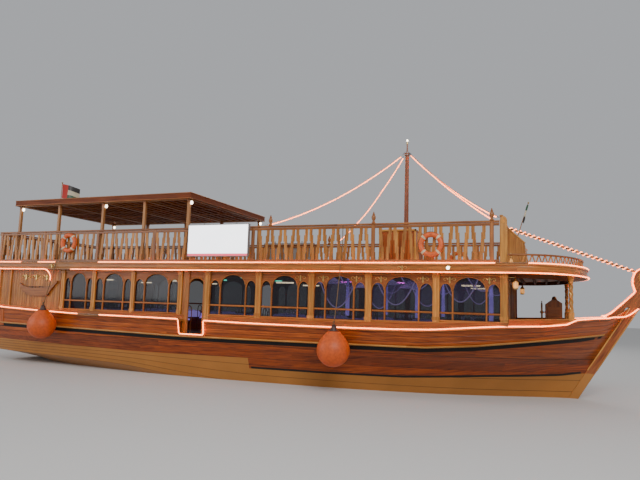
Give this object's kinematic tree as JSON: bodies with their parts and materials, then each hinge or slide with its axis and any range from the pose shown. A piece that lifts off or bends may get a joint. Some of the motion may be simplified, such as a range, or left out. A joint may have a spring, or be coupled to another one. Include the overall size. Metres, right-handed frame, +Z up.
{
  "type": "twin-deck wooden dinner-cruise dhow",
  "caption": "Motor dhow with a raked stem, an arched-window saloon, an open upper deck with fretwork rails and canopy, a light-strung mast, rudder and propeller.",
  "frame": {"origin": "on the centreline at the waterline, below the aft third window bay's fore post", "axes": "+X to the bow, +Y to port, +Z up"},
  "size_m": [21.1496, 6.779, 8.58],
  "materials": {
    "varnished_planks": "gloss varnish",
    "frame_wood": "satin varnish",
    "rail_wood": "satin varnish",
    "dark_wood": "gloss varnish",
    "deck_wood": "bare scrubbed planks",
    "stay_wire": "galvanised",
    "sign_face": "lit from inside",
    "lifebuoy_orange": "satin",
    "fender_orange": "weathered",
    "propeller_bronze": "polished",
    "engine_paint": "painted"
  },
  "bodies": {
    "boat": {"hull": "varnished_planks", "keel": "varnished_planks", "stem": "varnished_planks", "sternpost": "varnished_planks", "transom": "varnished_planks", "bulwark_port": "varnished_planks", "bulwark_stbd": "varnished_planks", "upper_deck": "varnished_planks", "front_screen": "varnished_planks", "mast_cabinet": "varnished_planks", "saloon_wall_port": "frame_wood", "saloon_wall_stbd": "frame_wood", "jamb_aft_port": "frame_wood", "jamb_aft_stbd": "frame_wood", "jamb_fore_port": "frame_wood", "jamb_fore_stbd": "frame_wood", "front_bulkhead": "frame_wood", "mid_bulkhead": "frame_wood", "aft_bulkhead": "frame_wood", "canopy_frame": "frame_wood", "fore_post_port": "frame_wood", "fore_post_stbd": "frame_wood", "ensign_staff": "frame_wood", "bow_pole": "frame_wood", "rail_port": "rail_wood", "rail_stbd": "rail_wood", "rail_aft": "rail_wood", "nose_rail": "rail_wood", "saloon_tables_port": "dark_wood", "saloon_tables_stbd": "dark_wood", "canopy_roof": "dark_wood", "mast": "dark_wood", "helm_console": "dark_wood", "main_deck": "deck_wood", "forestay": "stay_wire", "screen_stay": "stay_wire", "bow_stay_stbd": "stay_wire", "aft_stay_port": "stay_wire", "aft_stay_stbd": "stay_wire", "sign_port": "sign_face", "sign_stbd": "sign_face", "lifebuoy_fore_port": "lifebuoy_orange", "lifebuoy_fore_stbd": "lifebuoy_orange", "lifebuoy_aft_port": "lifebuoy_orange", "lifebuoy_aft_stbd": "lifebuoy_orange", "fender_fore_port": "fender_orange", "fender_fore_stbd": "fender_orange", "fender_aft_port": "fender_orange", "fender_aft_stbd": "fender_orange", "engine": "engine_paint"},
    "rudder": {"rudder": "dark_wood"},
    "propeller": {"propeller": "propeller_bronze"},
    "helm_wheel": {"helm_wheel": "frame_wood"},
    "front_door": {"front_door": "dark_wood"},
    "cabin_door": {"cabin_door": "dark_wood"}
  },
  "joints": [
    {"name": "rudder_turn", "type": "hinge", "parent": "boat", "child": "rudder", "pos_m": [-9.3, 0, -0.6], "axis": [0, 0, 1], "range_deg": [-35, 35]},
    {"name": "propeller_spin", "type": "hinge", "parent": "boat", "child": "propeller", "pos_m": [-8.75, 0, -0.62], "axis": [1, 0, 0], "continuous": true},
    {"name": "helm_turn", "type": "hinge", "parent": "boat", "child": "helm_wheel", "pos_m": [7.93, 0, 2.25], "axis": [1, 0, 0], "range_deg": [-350, 350]},
    {"name": "front_door_hinge", "type": "hinge", "parent": "boat", "child": "front_door", "pos_m": [7.12, -0.35, 2.1], "axis": [0, 0, -1], "range_deg": [0, 90]},
    {"name": "cabin_door_hinge", "type": "hinge", "parent": "boat", "child": "cabin_door", "pos_m": [-6.92, -0.35, 2.1], "axis": [0, 0, -1], "range_deg": [0, 90]}
  ],
  "couplings": [
    {"joint": "helm_turn", "follows": "rudder_turn", "ratio": 10}
  ]
}
